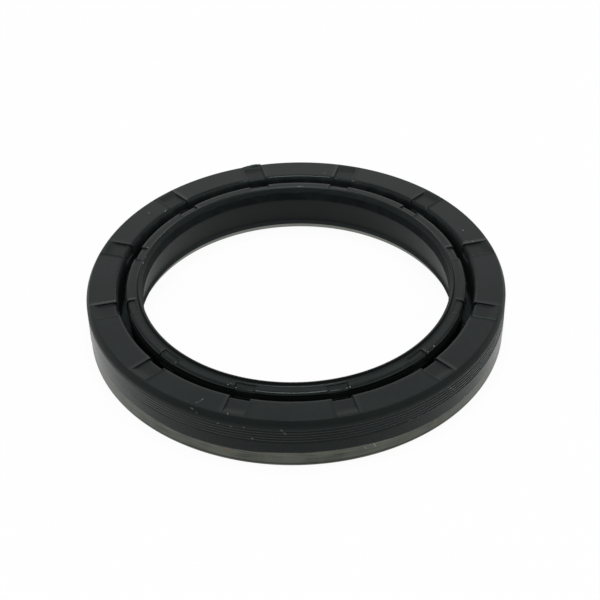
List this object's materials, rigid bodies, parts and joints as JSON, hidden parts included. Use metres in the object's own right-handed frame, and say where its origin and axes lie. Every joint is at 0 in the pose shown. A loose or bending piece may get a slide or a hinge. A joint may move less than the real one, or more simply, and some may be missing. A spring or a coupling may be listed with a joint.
{
  "type": "radial shaft seal",
  "caption": "Radial shaft seal: a rubber lip with a garter spring, moulded on a pressed steel case with a bare band at its foot.",
  "frame": {"origin": "on the ring's axis, at the outer face of the case flange that the seal lies on", "axes": "+Z along the ring's axis towards the open side with the spring; two opposite mould pockets lie 15 degrees from +X"},
  "size_m": [0.06, 0.06, 0.0083],
  "materials": {
    "case_steel": "bare pressed sheet steel, dull, with fine marks round it",
    "seal_rubber": "matte black moulded nitrile rubber",
    "spring_steel": "drawn spring wire, close wound"
  },
  "bodies": {
    "root": {"steel_case": "case_steel", "rubber_body": "seal_rubber", "garter_spring": "spring_steel"}
  },
  "joints": []
}
